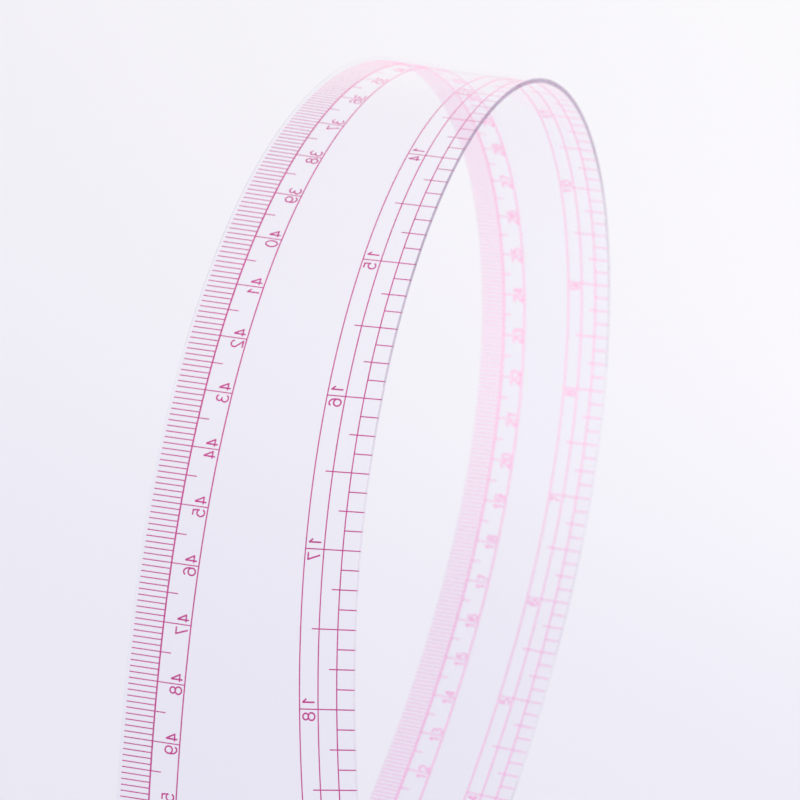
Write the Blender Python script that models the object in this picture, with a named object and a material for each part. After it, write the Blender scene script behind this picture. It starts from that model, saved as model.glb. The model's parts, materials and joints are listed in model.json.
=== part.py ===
# Flexible clear-plastic curved drafting rule (a long hip / french curve with a centimetre scale on its convex
# edge and an inch scale on its concave edge), sprung into an upright loop.
#
# Frame: metres, +Z up.  +X points from the narrow, low-number leg towards the wide, high-number leg, and +Y
# from the centimetre edge to the inch edge; every bend axis is parallel to Y.  The origin is under the middle
# of the part's bounding box, on the plane its lowest corner touches.
#
# The flat rule is laid out in (u, v): u, the station, runs along the rule; v runs across it from the
# centimetre edge.  The sheet is then bent about lines of constant u into the curve a springy strip takes
# when its ends are pinched together, and cut at those bend lines into short flat segments.  Each segment
# carries a piece of both printed scales.  A "reading" is a length along a scale's curved base line.

import math

import bmesh
import bpy
import numpy as np
from mathutils import Vector
from mathutils.geometry import tessellate_polygon

INCH = 0.0254

# ---- sheet and segments ----
SHEET = 0.0009                 # thickness of the clear sheet
SEGMENTS = 20                  # flat segments that stand for the continuous flexible sheet
SLOT = 0.0003                  # slot between two segments
BEND_SHARE = 0.90              # exponent: how strongly the bend lines crowd towards the crown
BEND_UNIT = 10.0               # curvature that counts as one in that crowding, 1/m
EVEN_SHARE = 0.30              # part of the spacing that ignores the bend

# ---- scale base lines; an arc is (curvature it adds in 1/m, reading it starts from) ----
CM_LENGTH = 0.60
CM_TICK = 0.005                # a graduation every half centimetre
CM_ZERO = (0.00131, 0.0)       # (u, v) of the scale's zero
CM_HEADING = math.radians(-5.607)
CM_ARCS = [(0.9313, 0.2065)]   # straight at the narrow end, then a long convex arc

INCH_COUNT = 22
INCH_ZERO = (0.01948, 0.02609)
INCH_HEADING = math.radians(-4.914)
INCH_ARCS = [(1.0321, 0.1762), (1.4295, 0.3677)]  # a concave arc, then a tighter flare
FAIRING = 0.080                # length over which each arc eases in

# ---- outline of the sheet ----
CM_MARGIN = 0.00050            # sheet left outside the scale base lines
INCH_MARGIN = 0.00035
NARROW_END = -0.0050           # reading on the centimetre edge at which the sheet starts
WIDE_END = 0.6080              # and ends
NOSE_RADIUS = 0.0160           # narrow end, inch-side corner
CORNER_RADIUS = 0.0040         # centimetre-side corners
WIDE_RADIUS = 0.0090           # wide end, inch-side corner
HANG_HOLE = 0.0060             # diameter of the hanging hole at the wide end
HANG_INSET = 0.0200            # hole centre, back from the wide end
HOLE_SIDES = 16
OUTLINE_STEP = 0.010           # spacing of outline points along the two long edges
CORNER_STEPS = 5               # chords per rounded corner

# ---- sprung shape: bending moment grows with distance from the line on which the ends are pinched ----
CROWN_U = 0.320                # station of the top of the loop
CROWN_MOMENT = 0.5049          # curvature times width at the crown
MOMENT_X = -0.9317             # change of that product per metre along X and Z
MOMENT_Z = 2.6035
ORIGIN_X = 0.01271             # the part's origin, relative to the crown in X and Z
ORIGIN_Y = 0.01576             # and to v = 0 in Y
ORIGIN_Z = -0.24129

# ---- print, measured in from each scale's base line ----
CM_LINES = (0.00508, 0.01019)
CM_TICK_START = -0.00036
CM_HALF_OVERRUN = 0.0020       # half-centimetre ticks run on this far past the first line
INCH_LINES = (0.00295, 0.00622, 0.00948)
INCH_TICK_START = -0.00020
INCH_QUARTER_OVERRUN = 0.0014  # quarter-inch ticks, past the first line
INCH_HALF_OVERRUN = 0.0013     # half-inch ticks, past the second line
LINE_WIDTH = 0.00032
TICK_WIDTH = 0.00030
TICK_CLEARANCE = 0.0004        # ticks closer than this to a segment's cut are left out
INK = 0.00010                  # height of the printed film
INK_GAP = 0.00003              # film to sheet
INK_TOP = -SHEET / 2 - INK_GAP  # the print is on the hollow face of the sheet
INK_BOTTOM = INK_TOP - INK

# ---- numerical tables ----
STEP = 0.0005                  # step along the edges and the sprung curve
EDGE_SPAN = (-0.04, 0.65)      # readings tabulated
CURVE_SPAN = (-0.015, 0.620)   # stations tabulated
WIDE_SEARCH = (0.50, 0.62)     # inch-edge readings among which each end of the sheet is found
NOSE_SEARCH = (-0.03, 0.05)
REACH_ITERATIONS = 12
TINY = 1e-6


# ---- flat layout -------------------------------------------------------------------------------------------
def eased(t):
    """Integral of a smooth 0-to-1 ramp."""
    ramp = min(max(t, 0.0), 1.0)
    return ramp ** 3 - 0.5 * ramp ** 4 + max(t - 1.0, 0.0)


def direction(angle):
    return math.cos(angle), math.sin(angle)


class ScaleEdge:
    """Curved base line of one scale; inward is the sign of v that leads into the sheet."""

    def __init__(self, zero, zero_heading, arcs, inward):
        self.zero_heading, self.arcs, self.inward = zero_heading, arcs, inward
        before, after = (int(round(abs(end) / STEP)) for end in EDGE_SPAN)
        self.readings = np.arange(-before, after + 1) * STEP
        headings = np.array([self.heading(s + STEP / 2) for s in self.readings[:-1]])
        u = np.concatenate([[0.0], np.cumsum(np.cos(headings) * STEP)])
        v = np.concatenate([[0.0], np.cumsum(np.sin(headings) * STEP)])
        self.u = u - u[before] + zero[0]
        self.v = v - v[before] + zero[1]

    def heading(self, reading):
        angle = self.zero_heading
        for curvature, start in self.arcs:
            angle += curvature * FAIRING * eased((reading - start) / FAIRING)
        return angle

    def point(self, reading, inset):
        """(u, v) at a reading, moved square to the base line into the sheet."""
        cos, sin = direction(self.heading(reading))
        offset = self.inward * inset
        return (float(np.interp(reading, self.readings, self.u)) - offset * sin,
                float(np.interp(reading, self.readings, self.v)) + offset * cos)

    def reach(self, inset, u, guess):
        """Reading at which the line with this inset meets station u."""
        reading = guess
        for _ in range(REACH_ITERATIONS):
            reading += (u - self.point(reading, inset)[0]) / math.cos(self.heading(reading))
        return reading


CM_EDGE = ScaleEdge(CM_ZERO, CM_HEADING, CM_ARCS, inward=1)
INCH_EDGE = ScaleEdge(INCH_ZERO, INCH_HEADING, INCH_ARCS, inward=-1)


def width_at(u):
    return float(np.interp(u, INCH_EDGE.u, INCH_EDGE.v) - np.interp(u, CM_EDGE.u, CM_EDGE.v))


# ---- outline of the flat sheet -----------------------------------------------------------------------------
def fillet(corner, arriving, leaving, radius):
    """Rounds a left-turning corner between two unit directions: (length cut off each side, arc points)."""
    turn = math.acos(arriving[0] * leaving[0] + arriving[1] * leaving[1])
    setback = radius * math.tan(turn / 2)
    start = (corner[0] - arriving[0] * setback, corner[1] - arriving[1] * setback)
    centre = (start[0] - arriving[1] * radius, start[1] + arriving[0] * radius)
    first = math.atan2(start[1] - centre[1], start[0] - centre[0])
    angles = [first + turn * i / CORNER_STEPS for i in range(CORNER_STEPS + 1)]
    return setback, [(centre[0] + radius * math.cos(angle), centre[1] + radius * math.sin(angle))
                     for angle in angles]


def inch_reading_across(corner, along, search):
    """Reading on the inch edge that lies most nearly square to `along` from a centimetre-side corner."""
    def offset(reading):
        u, v = INCH_EDGE.point(reading, -INCH_MARGIN)
        return abs((u - corner[0]) * along[0] + (v - corner[1]) * along[1])

    return min(np.arange(*search, STEP), key=offset)


def edge_points(edge, margin, first, last):
    """Outline points strictly between two readings."""
    count = int(round(abs(last - first) / OUTLINE_STEP))
    return [edge.point(first + (last - first) * i / count, -margin) for i in range(1, count)]


def outline():
    """Closed outline of the flat sheet, counter-clockwise in (u, v)."""
    start = CM_EDGE.point(NARROW_END, -CM_MARGIN)
    end = CM_EDGE.point(WIDE_END, -CM_MARGIN)
    start_along = direction(CM_EDGE.heading(NARROW_END))
    end_along = direction(CM_EDGE.heading(WIDE_END))
    end_across = (-end_along[1], end_along[0])
    down = (0.0, -1.0)

    wide_reading = inch_reading_across(end, end_along, WIDE_SEARCH)
    nose_reading = inch_reading_across(start, (1.0, 0.0), NOSE_SEARCH)
    wide = INCH_EDGE.point(wide_reading, -INCH_MARGIN)
    nose = INCH_EDGE.point(nose_reading, -INCH_MARGIN)
    wide_back = direction(INCH_EDGE.heading(wide_reading) + math.pi)
    nose_back = direction(INCH_EDGE.heading(nose_reading) + math.pi)

    start_cut, start_arc = fillet(start, down, start_along, CORNER_RADIUS)
    end_cut, end_arc = fillet(end, end_along, end_across, CORNER_RADIUS)
    wide_cut, wide_arc = fillet(wide, end_across, wide_back, WIDE_RADIUS)
    nose_cut, nose_arc = fillet(nose, nose_back, down, NOSE_RADIUS)
    cm_side = edge_points(CM_EDGE, CM_MARGIN, NARROW_END + start_cut, WIDE_END - end_cut)
    inch_side = edge_points(INCH_EDGE, INCH_MARGIN, wide_reading - wide_cut, nose_reading + nose_cut)
    return start_arc + cm_side + end_arc + wide_arc + inch_side + nose_arc


def clip(points, limit, keep_above):
    """Part of a closed outline on one side of u = limit."""
    kept = []
    for i, here in enumerate(points):
        ahead = points[(i + 1) % len(points)]
        here_inside = (here[0] >= limit) == keep_above
        ahead_inside = (ahead[0] >= limit) == keep_above
        if here_inside:
            kept.append(here)
        if here_inside != ahead_inside:
            share = (limit - here[0]) / (ahead[0] - here[0])
            kept.append((limit, here[1] + (ahead[1] - here[1]) * share))
    return kept


def hang_hole():
    """Outline of the hanging hole, on the middle of the width near the wide end, clockwise in (u, v)."""
    u, v = CM_EDGE.point(WIDE_END - HANG_INSET, 0.0)
    cos, sin = direction(CM_EDGE.heading(WIDE_END))
    half_width = width_at(u) / 2
    u, v = u - half_width * sin, v + half_width * cos
    angles = [-2 * math.pi * i / HOLE_SIDES for i in range(HOLE_SIDES)]
    return [(u + HANG_HOLE / 2 * math.cos(angle), v + HANG_HOLE / 2 * math.sin(angle))
            for angle in angles]


SHEET_OUTLINE = outline()
U_START = min(u for u, v in SHEET_OUTLINE)
U_END = max(u for u, v in SHEET_OUTLINE)


# ---- the sprung curve --------------------------------------------------------------------------------------
def curvature_at(x, z, u):
    return (CROWN_MOMENT + MOMENT_X * x + MOMENT_Z * z) / width_at(u)


def half_curve(end):
    """Rows of (station, x, z, slope angle, curvature) from the crown out to station end."""
    step = math.copysign(STEP, end - CROWN_U)
    x = z = angle = 0.0
    u, rows = CROWN_U, []
    for _ in range(int(round(abs(end - CROWN_U) / STEP))):
        mid_angle = angle - curvature_at(x, z, u) * step / 2
        mid_x = x + math.cos(mid_angle) * step / 2
        mid_z = z + math.sin(mid_angle) * step / 2
        turn = -curvature_at(mid_x, mid_z, u + step / 2) * step
        x += math.cos(angle + turn / 2) * step
        z += math.sin(angle + turn / 2) * step
        angle += turn
        u += step
        rows.append((u, x, z, angle, curvature_at(x, z, u)))
    return rows


CROWN_ROW = (CROWN_U, 0.0, 0.0, 0.0, curvature_at(0.0, 0.0, CROWN_U))
CURVE = np.array(half_curve(CURVE_SPAN[0])[::-1] + [CROWN_ROW] + half_curve(CURVE_SPAN[1])).T


def on_curve(u):
    """x, z, slope angle and curvature of the middle surface, with the crown at x = z = 0."""
    return [float(np.interp(u, CURVE[0], column)) for column in CURVE[1:]]


# ---- segments ----------------------------------------------------------------------------------------------
def bend_lines():
    """Stations that cut the sheet into segments, closer together where the strip is bent harder."""
    stations = np.arange(U_START, U_END, STEP)
    density = [(abs(on_curve(u)[3]) / BEND_UNIT) ** BEND_SHARE + EVEN_SHARE for u in stations]
    total = np.concatenate([[0.0], np.cumsum(density)])
    inner = [float(np.interp(total[-1] * i / SEGMENTS, total, np.append(stations, U_END)))
             for i in range(1, SEGMENTS)]
    return [U_START] + inner + [U_END]


LINES = bend_lines()


def knuckle(line):
    """(x, z) of a bend line, moved out so the flat segments straddle the true curve evenly."""
    x, z, angle, curvature = on_curve(LINES[line])
    if line in (0, SEGMENTS):
        return x, z
    chord = (LINES[line + 1] - LINES[line - 1]) / 2
    sagitta = curvature * chord ** 2 / 8
    return x - math.sin(angle) * sagitta / 2, z + math.cos(angle) * sagitta / 2


KNUCKLES = [knuckle(line) for line in range(SEGMENTS + 1)]
CROWN_SEGMENT = next(i for i in range(SEGMENTS) if LINES[i + 1] > CROWN_U)


def segment_span(seg):
    """Stations between which a segment's material lies, clear of the slots."""
    low = LINES[seg] + (SLOT / 2 if seg > 0 else 0)
    high = LINES[seg + 1] - (SLOT / 2 if seg < SEGMENTS - 1 else 0)
    return low, high


def place(seg, u, v, height):
    """A flat layout point on a segment, at a height above the middle surface, in the part's frame."""
    (x, z), (next_x, next_z) = KNUCKLES[seg], KNUCKLES[seg + 1]
    run, rise = next_x - x, next_z - z
    length = math.hypot(run, rise)
    share = (u - LINES[seg]) / (LINES[seg + 1] - LINES[seg])
    return (x + run * share - rise / length * height - ORIGIN_X,
            v - ORIGIN_Y,
            z + rise * share + run / length * height - ORIGIN_Z)


def pivot_of(seg):
    """A segment turns about its bend line nearer the crown; the crown segment keeps its middle."""
    if seg == CROWN_SEGMENT:
        (x, z), (next_x, next_z) = KNUCKLES[seg], KNUCKLES[seg + 1]
        x, z = (x + next_x) / 2, (z + next_z) / 2
    else:
        x, z = KNUCKLES[seg if seg > CROWN_SEGMENT else seg + 1]
    return (x - ORIGIN_X, 0.0, z - ORIGIN_Z)


def slab(seg):
    """Vertices and faces of one segment of the clear sheet."""
    low, high = segment_span(seg)
    border = SHEET_OUTLINE
    if seg > 0:
        border = clip(border, low, keep_above=True)
    if seg < SEGMENTS - 1:
        border = clip(border, high, keep_above=False)
        loops, flat = [border], [tuple(range(len(border)))]
    else:
        loops = [border, hang_hole()]
        flat = tessellate_polygon([[Vector((u, v, 0.0)) for u, v in loop] for loop in loops])
    points = [point for loop in loops for point in loop]
    count = len(points)
    verts = [place(seg, u, v, height) for height in (-SHEET / 2, SHEET / 2) for u, v in points]
    faces = [tuple(face)[::-1] for face in flat] + [tuple(i + count for i in face) for face in flat]
    start = 0
    for loop in loops:
        size = len(loop)
        for i in range(size):
            here, ahead = start + i, start + (i + 1) % size
            faces.append((here, ahead, count + ahead, count + here))
        start += size
    return verts, faces


# ---- print -------------------------------------------------------------------------------------------------
# A scale is a grid: rows lie between successive insets and columns between successive readings.
# A tick is (reading, number of rows it crosses, counted from the base line).
def line_sides(inset):
    return [inset - LINE_WIDTH / 2, inset + LINE_WIDTH / 2]


def cm_scale():
    first, second = (line_sides(inset) for inset in CM_LINES)
    insets = [CM_TICK_START, *first, CM_LINES[0] + CM_HALF_OVERRUN, *second]
    ticks = [(i * CM_TICK, 5 if i % 2 == 0 else 3) for i in range(round(CM_LENGTH / CM_TICK) + 1)]
    return dict(edge=CM_EDGE, insets=insets, line_rows={1, 4}, ticks=ticks)


def inch_scale():
    first, second, third = (line_sides(inset) for inset in INCH_LINES)
    insets = [INCH_TICK_START, *first, INCH_LINES[0] + INCH_QUARTER_OVERRUN,
              *second, INCH_LINES[1] + INCH_HALF_OVERRUN, *third]
    rows_by_quarter = (8, 3, 6, 3)
    ticks = [(i * INCH / 4, rows_by_quarter[i % 4]) for i in range(INCH_COUNT * 4 + 1)]
    return dict(edge=INCH_EDGE, insets=insets, line_rows={1, 4, 7}, ticks=ticks)


def segment_ticks(seg, edge, insets, ticks):
    """The ticks that lie wholly on a segment."""
    low, high = segment_span(seg)
    kept = []
    for reading, rows in ticks:
        stations = [edge.point(reading + side, inset)[0]
                    for side in (-TICK_WIDTH / 2, TICK_WIDTH / 2) for inset in insets[:rows + 1]]
        if min(stations) > low + TICK_CLEARANCE and max(stations) < high - TICK_CLEARANCE:
            kept.append((reading, rows))
    # the longest ticks are carried right across, so the film holds together on a short segment too
    longest = max(rows for _, rows in kept)
    return [(reading, len(insets) - 1 if rows == longest else rows) for reading, rows in kept]


def film_grid(seg, edge, insets, line_rows, ticks):
    """Column borders, each a reading per inset, and the set of inked (column, row) cells."""
    low, high = segment_span(seg)
    marks = segment_ticks(seg, edge, insets, ticks)
    first, last = marks[0][0], marks[-1][0]
    columns, inked_rows = [], []
    if seg > 0 and first > TINY:
        columns.append([edge.reach(inset, low, first) for inset in insets])
        inked_rows.append(line_rows)
    for reading, rows in marks:
        columns.append([reading - TICK_WIDTH / 2] * len(insets))
        inked_rows.append(set(range(rows)) | line_rows)
        columns.append([reading + TICK_WIDTH / 2] * len(insets))
        inked_rows.append(line_rows)
    if last < ticks[-1][0] - TINY:
        columns.append([edge.reach(inset, high, last) for inset in insets])
    cells = {(i, j) for i in range(len(columns) - 1) for j in inked_rows[i]}
    return columns, cells


def merge_cells(cells, column_count, row_count):
    """Strips (first border, last border, row): a line runs on as one strip past ticks that stop short."""
    strips = []
    for j in range(row_count):
        run_start = None
        for i in range(column_count):
            inked = (i, j) in cells
            alone = inked and (i, j - 1) not in cells and (i, j + 1) not in cells
            if alone:
                if run_start is None:
                    run_start = i
                continue
            if run_start is not None:
                strips.append((run_start, i, j))
                run_start = None
            if inked:
                strips.append((i, i + 1, j))
    return strips


def film(seg, edge, insets, line_rows, ticks):
    """Vertices and faces of one scale's lines and ticks on a segment, as one connected film."""
    columns, cells = film_grid(seg, edge, insets, line_rows, ticks)
    strips = merge_cells(cells, len(columns), len(insets) - 1)
    nodes = {(i, j + side) for start, end, j in strips for i in (start, end) for side in (0, 1)}
    index, verts = {}, []
    for i, j in sorted(nodes):
        u, v = edge.point(columns[i][j], insets[j])
        index[(i, j)] = len(verts)
        verts += [place(seg, u, v, INK_BOTTOM), place(seg, u, v, INK_TOP)]
    faces = []
    for start, end, j in strips:
        ring = [index[node] for node in ((start, j), (end, j), (end, j + 1), (start, j + 1))]
        neighbours = [(start, j - 1), (end, j), (start, j + 1), (start - 1, j)]
        faces.append(tuple(i + 1 for i in ring))
        faces.append(tuple(ring[::-1]))
        for side, neighbour in enumerate(neighbours):
            if neighbour not in cells:
                here, ahead = ring[side], ring[(side + 1) % 4]
                faces.append((here, ahead, ahead + 1, here + 1))
    return verts, faces


# ---- scene -------------------------------------------------------------------------------------------------
def material(name, colour, roughness, alpha=1.0, transmission=0.0):
    made = bpy.data.materials.new(name)
    made.use_nodes = True
    inputs = made.node_tree.nodes["Principled BSDF"].inputs
    inputs["Base Color"].default_value = (*colour, 1.0)
    inputs["Roughness"].default_value = roughness
    inputs["Metallic"].default_value = 0.0
    inputs["Alpha"].default_value = alpha
    inputs["Transmission Weight"].default_value = transmission
    inputs["IOR"].default_value = 1.5
    return made


def add_solid(name, mesh_data, pivot, mat):
    """Makes an object from world-space vertices, with its origin at pivot."""
    verts, faces = mesh_data
    mesh = bpy.data.meshes.new(name)
    mesh.from_pydata([tuple(c - p for c, p in zip(vert, pivot)) for vert in verts], [], faces)
    bm = bmesh.new()
    bm.from_mesh(mesh)
    bmesh.ops.recalc_face_normals(bm, faces=bm.faces)
    bm.to_mesh(mesh)
    bm.free()
    mesh.materials.append(mat)
    obj = bpy.data.objects.new(name, mesh)
    bpy.context.scene.collection.objects.link(obj)
    obj.location = pivot


def build():
    for old in list(bpy.data.objects):
        bpy.data.objects.remove(old, do_unlink=True)

    magenta = (0.72, 0.06, 0.32)
    clear = material("clear_sheet", colour=(0.86, 0.84, 0.93), roughness=0.06,
                     alpha=0.45, transmission=0.6)
    cm_ink = material("cm_scale_ink", colour=magenta, roughness=0.45)
    inch_ink = material("inch_scale_ink", colour=magenta, roughness=0.45)
    cm, inch = cm_scale(), inch_scale()

    for seg in range(SEGMENTS):
        tag = f"{seg + 1:02d}"
        pivot = pivot_of(seg)
        add_solid("blade_seg_" + tag, slab(seg), pivot, clear)
        add_solid("cm_print_" + tag, film(seg, **cm), pivot, cm_ink)
        add_solid("inch_print_" + tag, film(seg, **inch), pivot, inch_ink)


build()
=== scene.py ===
"""Flexible clear curved rule: one bent plastic sheet with polished edges and two printed scales.

The flat layout has u along the rule and v across it, the centimetre edge at low v and the inch edge
at high v.  The sheet is then bent in the XZ plane with its crown up; v becomes Y, and Z is up.

Sheet and print are built span by span.  A span runs from the middle of one rigid CAD segment to the
middle of the next.
"""

import json
import math
from types import SimpleNamespace

import bmesh
import bpy
import numpy as np
from mathutils import Matrix, Vector

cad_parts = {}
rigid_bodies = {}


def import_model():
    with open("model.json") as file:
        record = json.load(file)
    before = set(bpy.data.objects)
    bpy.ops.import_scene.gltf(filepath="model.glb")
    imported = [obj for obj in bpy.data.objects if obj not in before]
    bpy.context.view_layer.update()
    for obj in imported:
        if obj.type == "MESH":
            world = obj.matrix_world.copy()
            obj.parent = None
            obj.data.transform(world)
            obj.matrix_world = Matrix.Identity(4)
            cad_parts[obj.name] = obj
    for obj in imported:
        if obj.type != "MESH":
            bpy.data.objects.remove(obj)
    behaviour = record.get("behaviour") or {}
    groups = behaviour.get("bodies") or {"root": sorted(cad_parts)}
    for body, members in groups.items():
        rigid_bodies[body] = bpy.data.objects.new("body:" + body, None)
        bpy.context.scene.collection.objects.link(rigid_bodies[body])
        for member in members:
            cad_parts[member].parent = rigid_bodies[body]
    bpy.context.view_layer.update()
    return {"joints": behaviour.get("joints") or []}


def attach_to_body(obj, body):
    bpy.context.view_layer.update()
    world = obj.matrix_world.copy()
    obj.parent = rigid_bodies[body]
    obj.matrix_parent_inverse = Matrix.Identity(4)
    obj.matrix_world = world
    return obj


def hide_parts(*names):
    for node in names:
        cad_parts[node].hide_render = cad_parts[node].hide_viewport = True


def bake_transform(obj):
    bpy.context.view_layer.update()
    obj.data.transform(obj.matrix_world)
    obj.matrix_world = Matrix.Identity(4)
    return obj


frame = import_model()

INCH = 0.0254

# ---- sheet dimensions -------------------------------------------------------------------------
SHEET = 0.0009                 # thickness
EDGE_BEVEL = 0.00010
COLUMN = 0.0010                # spacing of mesh columns along the strip
STEP = 0.0005                  # integration step along the base lines and the bend

FAIRING = 0.080                # length over which a curvature eases in
LINE_REACH = 0.65              # highest reading to which the base lines are worked out
CM_MARGIN = 0.00050            # from each base line out to the rim
INCH_MARGIN = 0.00035
NARROW_END = -0.0050           # readings of the two ends on the centimetre scale
WIDE_END = 0.6080
NOSE_RADIUS = 0.0160           # inch corner of the narrow end
CORNER_RADIUS = 0.0040         # both centimetre corners
WIDE_RADIUS = 0.0090           # inch corner of the wide end
HOLE_RADIUS = 0.0060 / 2       # hanging hole
HANG_INSET = 0.0200            # hole centre in from the wide end

# ---- bend -------------------------------------------------------------------------------------
CROWN_U = 0.320
CROWN_MOMENT = 0.5049          # bending moment at the crown and its change along X and Z
MOMENT_X = -0.9317
MOMENT_Z = 2.6035
CURVE_ENDS = (-0.015, 0.620)   # stations between which the bend is worked out
ORIGIN_X = 0.01271             # frame origin, measured from the crown (X, Z) and from v = 0 (Y)
ORIGIN_Y = 0.01576
ORIGIN_Z = -0.24129
SEGMENTS = 20                  # rigid CAD segments, shorter where the sheet bends more
BEND_SHARE = 0.90
EVEN_SHARE = 0.30
HINGE_SLACK = 0.0015

# ---- print, insets measured in from each scale's base line --------------------------------------
CM_COUNT = 60
INCH_COUNT = 22
CM_LINES = (0.00508, 0.01019)
CM_TICK_START = -0.00039
CM_HALF_OVERRUN = 0.0020       # half-centimetre tick past the first line
INCH_LINES = (0.00295, 0.00622, 0.00948)
INCH_TICK_START = -0.00020
INCH_QUARTER_OVERRUN = 0.0014  # quarter-inch tick past the first line
INCH_HALF_OVERRUN = 0.0013     # half-inch tick past the second line
CM_BOLD = 0.00030              # line and tick widths
CM_FINE = 0.00025
CM_TICK = 0.00019
INCH_FINE = 0.00022
INCH_TICK = 0.00020
INK = 0.000015                 # thickness of the print, on the hollow face of the sheet
INK_GAP = 0.000010
FILM_COLUMN = 0.0012           # longest run of a line without a mesh column
FILM_GAP = 0.00005             # least distance from a tick to the end of a span
STROKE = 0.00028               # digit stroke
CM_DIGIT = (0.00150, 0.00245)  # digit width and height
INCH_DIGIT = (0.00148, 0.00238)
CM_DIGIT_GAP = 0.00030         # digit to its tick
INCH_DIGIT_GAP = 0.00042
CM_DIGIT_FOOT = 0.00022        # digit foot to the line it stands on
INCH_DIGIT_FOOT = 0.00034


# ---- base lines of the two scales in the flat layout --------------------------------------------
def eased(t):
    """Turn gathered by a curvature that eases in while t goes from 0 to 1 and then holds."""
    c = min(max(t, 0.0), 1.0)
    return c ** 3 - 0.5 * c ** 4 + max(t - 1.0, 0.0)


class BaseLine:
    """Curved line along which a scale reads s; inward is +1 if the sheet lies to its left, else -1."""

    def __init__(self, zero, start_heading, turns, inward, lowest):
        self.start_heading = start_heading
        self.turns = turns
        self.inward = inward
        before = int(math.ceil(-lowest / STEP))
        after = int(math.ceil(LINE_REACH / STEP))
        self.s = np.arange(-before, after + 1) * STEP
        headings = np.array([self.heading(s + STEP / 2) for s in self.s[:-1]])
        u = np.concatenate([[0.0], np.cumsum(np.cos(headings) * STEP)])
        v = np.concatenate([[0.0], np.cumsum(np.sin(headings) * STEP)])
        self.u = u - u[before] + zero[0]
        self.v = v - v[before] + zero[1]

    def heading(self, s):
        angle = self.start_heading
        for start, curvature in self.turns:
            angle += curvature * FAIRING * eased((s - start) / FAIRING)
        return angle

    def point(self, s, inset):
        angle = self.heading(s)
        shift = self.inward * inset
        return (float(np.interp(s, self.s, self.u)) - shift * math.sin(angle),
                float(np.interp(s, self.s, self.v)) + shift * math.cos(angle))

    def reading_at(self, inset, u, guess):
        """Reading at which the line with this inset meets station u."""
        s = guess
        for _ in range(12):
            s += (u - self.point(s, inset)[0]) / math.cos(self.heading(s))
        return s


# turns are (reading where it starts, curvature added)
CM_BASE = BaseLine(zero=(0.00131, 0.0), start_heading=math.radians(-5.607),
                   turns=[(0.2065, 0.9313)], inward=1, lowest=-0.03)
INCH_BASE = BaseLine(zero=(0.01948, 0.02609), start_heading=math.radians(-4.914),
                     turns=[(0.1762, 1.0321), (0.3677, 1.4295)], inward=-1, lowest=-0.04)


def width_at(u):
    return float(np.interp(u, INCH_BASE.u, INCH_BASE.v) - np.interp(u, CM_BASE.u, CM_BASE.v))


# ---- bend of the sheet --------------------------------------------------------------------------
def sprung(first, last):
    """Rows of station, x, z, pitch and curvature of the sprung sheet, worked out from the crown."""
    def bending(x, z, u):
        return -(CROWN_MOMENT + MOMENT_X * x + MOMENT_Z * z) / width_at(u)

    halves = []
    for sign, end in ((-1, first), (1, last)):
        x = z = pitch = 0.0
        u = CROWN_U
        ahead = sign * STEP
        rows = []
        for _ in range(int(round(abs(end - CROWN_U) / STEP))):
            middle = pitch + bending(x, z, u) * ahead / 2
            x_mid = x + math.cos(middle) * ahead / 2
            z_mid = z + math.sin(middle) * ahead / 2
            turn = bending(x_mid, z_mid, u + ahead / 2) * ahead
            x += math.cos(pitch + turn / 2) * ahead
            z += math.sin(pitch + turn / 2) * ahead
            pitch += turn
            u += ahead
            rows.append((u, x, z, pitch, -bending(x, z, u)))
        halves.append(rows)
    crown = [(CROWN_U, 0.0, 0.0, 0.0, -bending(0, 0, CROWN_U))]
    return np.array(halves[0][::-1] + crown + halves[1]).T


CURVE = sprung(*CURVE_ENDS)


def on_curve(u):
    """x, z, pitch and curvature of the middle surface at station u."""
    return [float(np.interp(u, CURVE[0], row)) for row in CURVE[1:]]


def bent(u, v, height):
    """A flat layout point at a height above the middle surface, on the bent sheet."""
    x, z, pitch, _ = on_curve(u)
    return Vector((x - math.sin(pitch) * height - ORIGIN_X,
                   v - ORIGIN_Y,
                   z + math.cos(pitch) * height - ORIGIN_Z))


def turned(u, direction):
    """A direction in the flat layout (along, across, out), turned with the sheet at station u."""
    pitch = on_curve(u)[2]
    along, across, out = direction
    return Vector((math.cos(pitch) * along - math.sin(pitch) * out, across,
                   math.sin(pitch) * along + math.cos(pitch) * out))


# ---- outline ------------------------------------------------------------------------------------
def fillet(corner, arriving, leaving, radius, steps):
    """Length cut from each side of a rounded corner, and the points of its arc."""
    turn = math.acos(arriving[0] * leaving[0] + arriving[1] * leaving[1])
    setback = radius * math.tan(turn / 2)
    side = 1 if arriving[0] * leaving[1] - arriving[1] * leaving[0] > 0 else -1
    start = (corner[0] - arriving[0] * setback, corner[1] - arriving[1] * setback)
    centre = (start[0] - side * arriving[1] * radius, start[1] + side * arriving[0] * radius)
    first = math.atan2(start[1] - centre[1], start[0] - centre[0])
    angles = [first + side * turn * i / steps for i in range(steps + 1)]
    return setback, [(centre[0] + radius * math.cos(a), centre[1] + radius * math.sin(a))
                     for a in angles]


def rim_between(rim, start, end, step):
    """Points of a rim strictly between two readings."""
    count = int(round(abs(end - start) / step))
    return [rim(start + (end - start) * i / count) for i in range(1, count)]


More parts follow.
